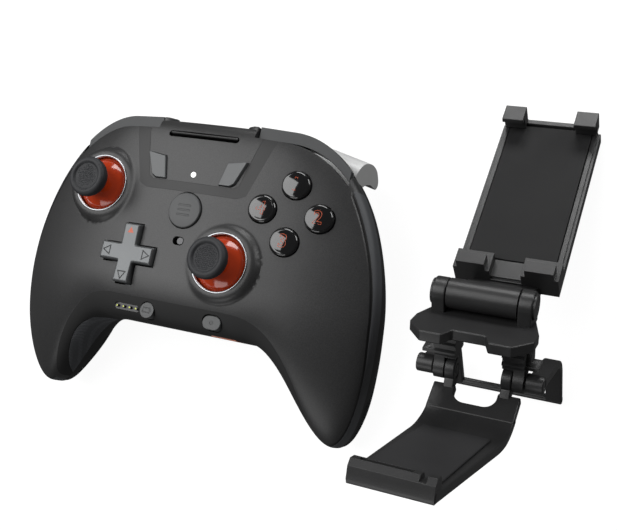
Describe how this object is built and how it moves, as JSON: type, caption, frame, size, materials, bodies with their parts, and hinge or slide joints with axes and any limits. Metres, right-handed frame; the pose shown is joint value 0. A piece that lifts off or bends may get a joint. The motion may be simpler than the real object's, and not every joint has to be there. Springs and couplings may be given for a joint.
{
  "type": "mobile game controller with phone clip",
  "caption": "Handheld wireless game controller with twin sticks, direction pad, action buttons, bumpers and triggers, lying beside its detached folding phone clip.",
  "frame": {"origin": "on the flat underside of the rear housing, straight under the middle of the face", "axes": "+X to the player's right, +Y to the top edge with the bumpers, +Z out of the face, up from the floor"},
  "size_m": [0.2245, 0.1434, 0.1277],
  "materials": {
    "shell_plastic": "fine grained moulding",
    "rear_plastic": "fine grained moulding",
    "grip_rubber": "dotted soft rubber",
    "battery_wrap": "shrink wrapped cell",
    "circuit_board": "solder mask",
    "silicone": "soft keypad rubber",
    "bumper_plastic": "satin",
    "trigger_plastic": "silver paint, satin",
    "frame_plastic": "moulded",
    "steel": "turned",
    "ring_metal": "polished",
    "sensor_plastic": "moulded",
    "yoke_plastic": "moulded",
    "dome_orange": "polished moulding",
    "cap_rubber": "soft touch, dotted top",
    "pad_plastic": "satin",
    "button_gloss": "polished dome",
    "key_plastic": "satin",
    "switch_plastic": "satin",
    "lens_tint": "tinted lens",
    "lens_white": "frosted lens",
    "port_orange": "moulded port shell",
    "motor_steel": "drawn can",
    "weight_metal": "sintered",
    "clip_plastic": "fine grained moulding",
    "clip_pad_rubber": "soft pad"
  },
  "bodies": {
    "controller": {"front_shell": "shell_plastic", "rear_shell": "rear_plastic", "grip_l": "grip_rubber", "grip_r": "grip_rubber", "rear_housing": "rear_plastic", "battery": "battery_wrap", "lower_board": "circuit_board", "upper_board": "circuit_board", "action_membrane": "silicone", "dpad_membrane": "silicone", "bumper_frame": "frame_plastic", "trigger_brackets": "frame_plastic", "trigger_pins": "steel", "stick_ring_l": "ring_metal", "stick_ring_r": "ring_metal", "stick_module_l": "sensor_plastic", "stick_module_r": "sensor_plastic", "led_lenses": "lens_tint", "status_led": "lens_white", "charge_port": "port_orange", "motor_l": "motor_steel", "motor_r": "motor_steel", "screws": "steel"},
    "bumper_l": {"bumper_l": "bumper_plastic"},
    "trigger_l": {"trigger_l": "trigger_plastic"},
    "bumper_r": {"bumper_r": "bumper_plastic"},
    "trigger_r": {"trigger_r": "trigger_plastic"},
    "yoke_l": {"stick_yoke_l": "yoke_plastic"},
    "stick_l": {"stick_dome_l": "dome_orange", "stick_cap_l": "cap_rubber"},
    "yoke_r": {"stick_yoke_r": "yoke_plastic"},
    "stick_r": {"stick_dome_r": "dome_orange", "stick_cap_r": "cap_rubber"},
    "rocker": {"dpad_rocker": "pad_plastic"},
    "dpad": {"dpad": "pad_plastic"},
    "button_north": {"button_north": "button_gloss"},
    "button_east": {"button_east": "button_gloss"},
    "button_south": {"button_south": "button_gloss"},
    "button_west": {"button_west": "button_gloss"},
    "menu_button": {"menu_button": "key_plastic"},
    "select_button": {"select_button": "key_plastic"},
    "start_button": {"start_button": "key_plastic"},
    "battery_button": {"battery_button": "key_plastic"},
    "program_button": {"program_button": "key_plastic"},
    "mode_switch": {"mode_switch": "switch_plastic"},
    "weight_l": {"weight_l": "weight_metal"},
    "weight_r": {"weight_r": "weight_metal"},
    "clip_base": {"clip_jaw": "clip_plastic", "clip_post_l": "clip_plastic", "clip_post_r": "clip_plastic", "clip_pins": "clip_plastic", "clip_axle": "steel", "clip_end_caps": "clip_plastic"},
    "clip_holder": {"clip_arm": "clip_plastic", "clip_tray": "clip_plastic", "clip_pad": "clip_pad_rubber"},
    "clip_carriage": {"clip_carriage": "clip_plastic"},
    "clip_claw": {"clip_claw": "clip_plastic", "clip_claw_pad": "clip_pad_rubber"},
    "clip_bail": {"clip_bail": "clip_plastic"}
  },
  "joints": [
    {"name": "bumper_l_press", "type": "hinge", "parent": "controller", "child": "bumper_l", "pos_m": [-0.025, 0.0424, 0.04], "axis": [0, 0, 1], "range_deg": [0, 1.2], "stiffness_Nm_per_rad": 2, "springref_deg": -1.15},
    {"name": "trigger_l_pull", "type": "hinge", "parent": "controller", "child": "trigger_l", "pos_m": [-0.046, 0.0275, 0.027], "axis": [-0.9703, -0.2419, 0], "range_deg": [0, 16], "stiffness_Nm_per_rad": 0.05, "springref_deg": -8.59},
    {"name": "bumper_r_press", "type": "hinge", "parent": "controller", "child": "bumper_r", "pos_m": [0.025, 0.0424, 0.04], "axis": [0, 0, -1], "range_deg": [0, 1.2], "stiffness_Nm_per_rad": 2, "springref_deg": -1.15},
    {"name": "trigger_r_pull", "type": "hinge", "parent": "controller", "child": "trigger_r", "pos_m": [0.046, 0.0275, 0.027], "axis": [-0.9703, 0.2419, 0], "range_deg": [0, 16], "stiffness_Nm_per_rad": 0.05, "springref_deg": -8.59},
    {"name": "stick_l_tilt_x", "type": "hinge", "parent": "controller", "child": "yoke_l", "pos_m": [-0.0417, 0.0133, 0.0376], "axis": [1, 0, 0], "range_deg": [-17, 17], "stiffness_Nm_per_rad": 0.04},
    {"name": "stick_l_tilt_y", "type": "hinge", "parent": "yoke_l", "child": "stick_l", "pos_m": [-0.0417, 0.0133, 0.0376], "axis": [0, 1, 0], "range_deg": [-17, 17], "stiffness_Nm_per_rad": 0.04},
    {"name": "stick_r_tilt_x", "type": "hinge", "parent": "controller", "child": "yoke_r", "pos_m": [0.0197, -0.011, 0.0389], "axis": [1, 0, 0], "range_deg": [-17, 17], "stiffness_Nm_per_rad": 0.04},
    {"name": "stick_r_tilt_y", "type": "hinge", "parent": "yoke_r", "child": "stick_r", "pos_m": [0.0197, -0.011, 0.0389], "axis": [0, 1, 0], "range_deg": [-17, 17], "stiffness_Nm_per_rad": 0.04},
    {"name": "dpad_tilt_x", "type": "hinge", "parent": "controller", "child": "rocker", "pos_m": [-0.0208, -0.0132, 0.0426], "axis": [1, 0, 0], "range_deg": [-4, 4], "stiffness_Nm_per_rad": 0.1},
    {"name": "dpad_tilt_y", "type": "hinge", "parent": "rocker", "child": "dpad", "pos_m": [-0.0208, -0.0132, 0.0426], "axis": [0, 1, 0], "range_deg": [-4, 4], "stiffness_Nm_per_rad": 0.1},
    {"name": "button_north_press", "type": "slide", "parent": "controller", "child": "button_north", "axis": [0, 0, -1], "range_m": [0, 0.0014], "stiffness_N_per_m": 400, "springref_m": -0.001},
    {"name": "button_east_press", "type": "slide", "parent": "controller", "child": "button_east", "axis": [0, 0, -1], "range_m": [0, 0.0014], "stiffness_N_per_m": 400, "springref_m": -0.001},
    {"name": "button_south_press", "type": "slide", "parent": "controller", "child": "button_south", "axis": [0, 0, -1], "range_m": [0, 0.0014], "stiffness_N_per_m": 400, "springref_m": -0.001},
    {"name": "button_west_press", "type": "slide", "parent": "controller", "child": "button_west", "axis": [0, 0, -1], "range_m": [0, 0.0014], "stiffness_N_per_m": 400, "springref_m": -0.001},
    {"name": "menu_press", "type": "slide", "parent": "controller", "child": "menu_button", "axis": [0, 0, -1], "range_m": [0, 0.0007], "stiffness_N_per_m": 600, "springref_m": -0.001},
    {"name": "select_press", "type": "slide", "parent": "controller", "child": "select_button", "axis": [0, 0, -1], "range_m": [0, 0.0007], "stiffness_N_per_m": 600, "springref_m": -0.001},
    {"name": "start_press", "type": "slide", "parent": "controller", "child": "start_button", "axis": [0, 0, -1], "range_m": [0, 0.0007], "stiffness_N_per_m": 600, "springref_m": -0.001},
    {"name": "battery_press", "type": "slide", "parent": "controller", "child": "battery_button", "axis": [0, 0, -1], "range_m": [0, 0.0007], "stiffness_N_per_m": 600, "springref_m": -0.001},
    {"name": "program_press", "type": "slide", "parent": "controller", "child": "program_button", "axis": [0, 0, -1], "range_m": [0, 0.0007], "stiffness_N_per_m": 600, "springref_m": -0.001},
    {"name": "mode_slide", "type": "slide", "parent": "controller", "child": "mode_switch", "axis": [-1, 0, 0], "range_m": [0, 0.0018]},
    {"name": "motor_l_spin", "type": "hinge", "parent": "controller", "child": "weight_l", "pos_m": [-0.063, -0.046, 0.0136], "axis": [0, 1, 0], "range_deg": [-180, 180]},
    {"name": "motor_r_spin", "type": "hinge", "parent": "controller", "child": "weight_r", "pos_m": [0.063, -0.046, 0.0136], "axis": [0, 1, 0], "range_deg": [-180, 180]},
    {"name": "clip_lift_off", "type": "slide", "parent": "controller", "child": "clip_base", "axis": [0, 0, 1], "range_m": [0, 0.08]},
    {"name": "clip_barrel_tilt", "type": "hinge", "parent": "clip_base", "child": "clip_holder", "pos_m": [0.124, -0.0092, 0.06261], "axis": [1, 0, 0], "range_deg": [0, 72]},
    {"name": "clip_carriage_slide", "type": "slide", "parent": "clip_holder", "child": "clip_carriage", "axis": [0, 0.9063, -0.4226], "range_m": [0, 0.026]},
    {"name": "clip_claw_open", "type": "hinge", "parent": "clip_base", "child": "clip_claw", "pos_m": [0.124, -0.03241, 0.04796], "axis": [1, 0, 0], "range_deg": [0, 22], "stiffness_Nm_per_rad": 0.35, "springref_deg": -28.65},
    {"name": "clip_bail_fold", "type": "hinge", "parent": "clip_base", "child": "clip_bail", "pos_m": [0.124, -0.03241, 0.04796], "axis": [-1, 0, 0], "range_deg": [0, 55]}
  ]
}
